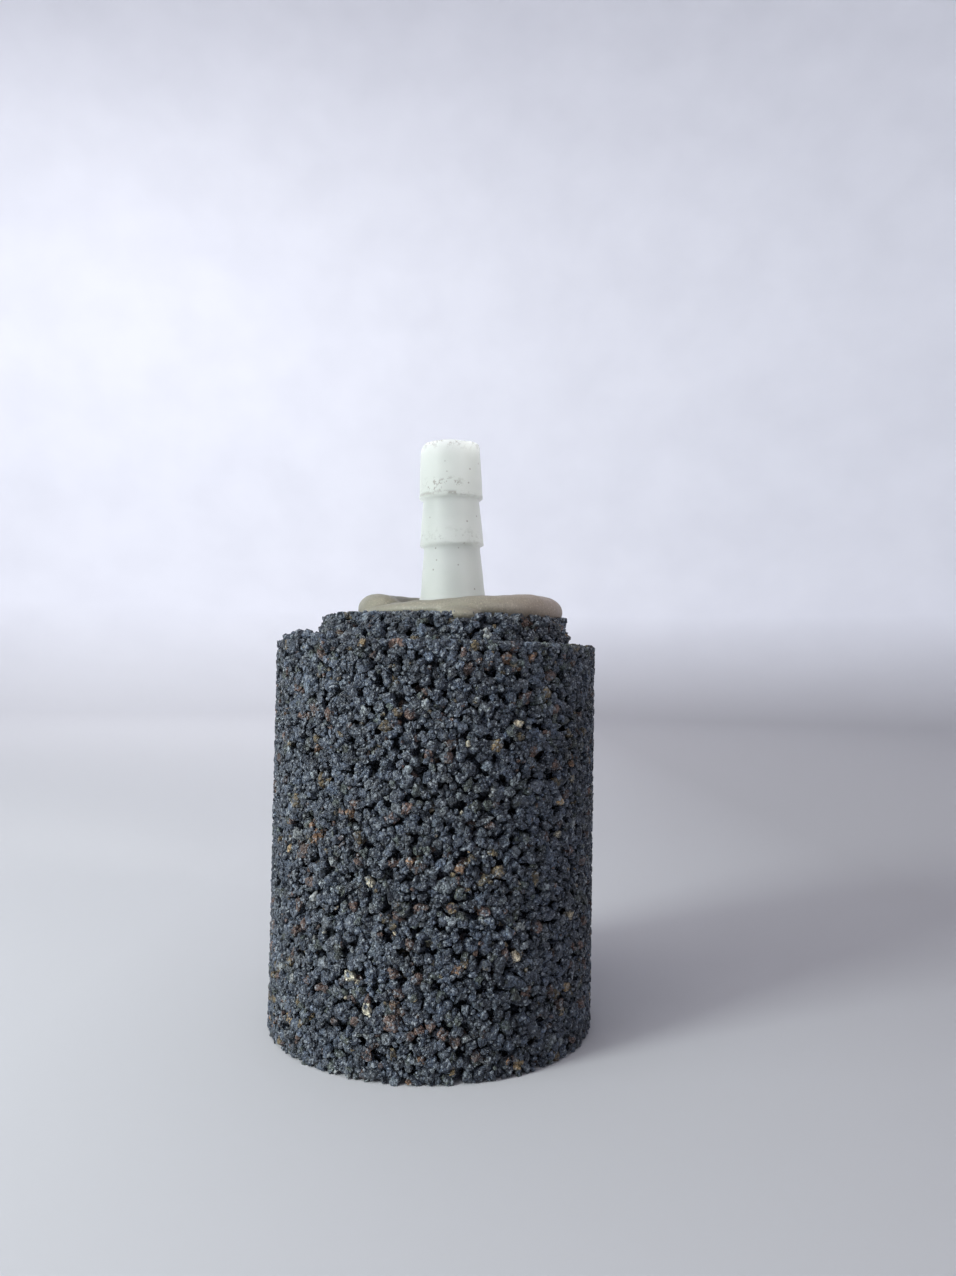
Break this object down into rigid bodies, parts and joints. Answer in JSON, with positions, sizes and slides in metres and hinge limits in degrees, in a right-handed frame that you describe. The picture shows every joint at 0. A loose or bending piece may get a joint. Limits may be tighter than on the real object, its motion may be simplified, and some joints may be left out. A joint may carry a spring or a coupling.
{
  "type": "air stone",
  "caption": "Cylindrical porous air stone with a moulded end boss and a barbed plastic hose nipple set in putty, standing on its flat base.",
  "frame": {"origin": "centre of the stone's flat base", "axes": "+Z along the stone's axis, from the base to the hose nipple; +X towards the side that the boss, putty and nipple are offset to"},
  "size_m": [0.025, 0.025, 0.0454],
  "materials": {
    "stone": "rough bonded mineral grain, dark bluish grey with a few brown, rust and pale grains",
    "putty": "hand-laid cream epoxy putty, satin and finely speckled",
    "nipple_plastic": "moulded natural plastic, milky and slightly translucent, worn at the tip and barbs"
  },
  "bodies": {
    "root": {"stone_body": "stone", "seating_putty": "putty", "hose_nipple": "nipple_plastic"}
  },
  "joints": []
}
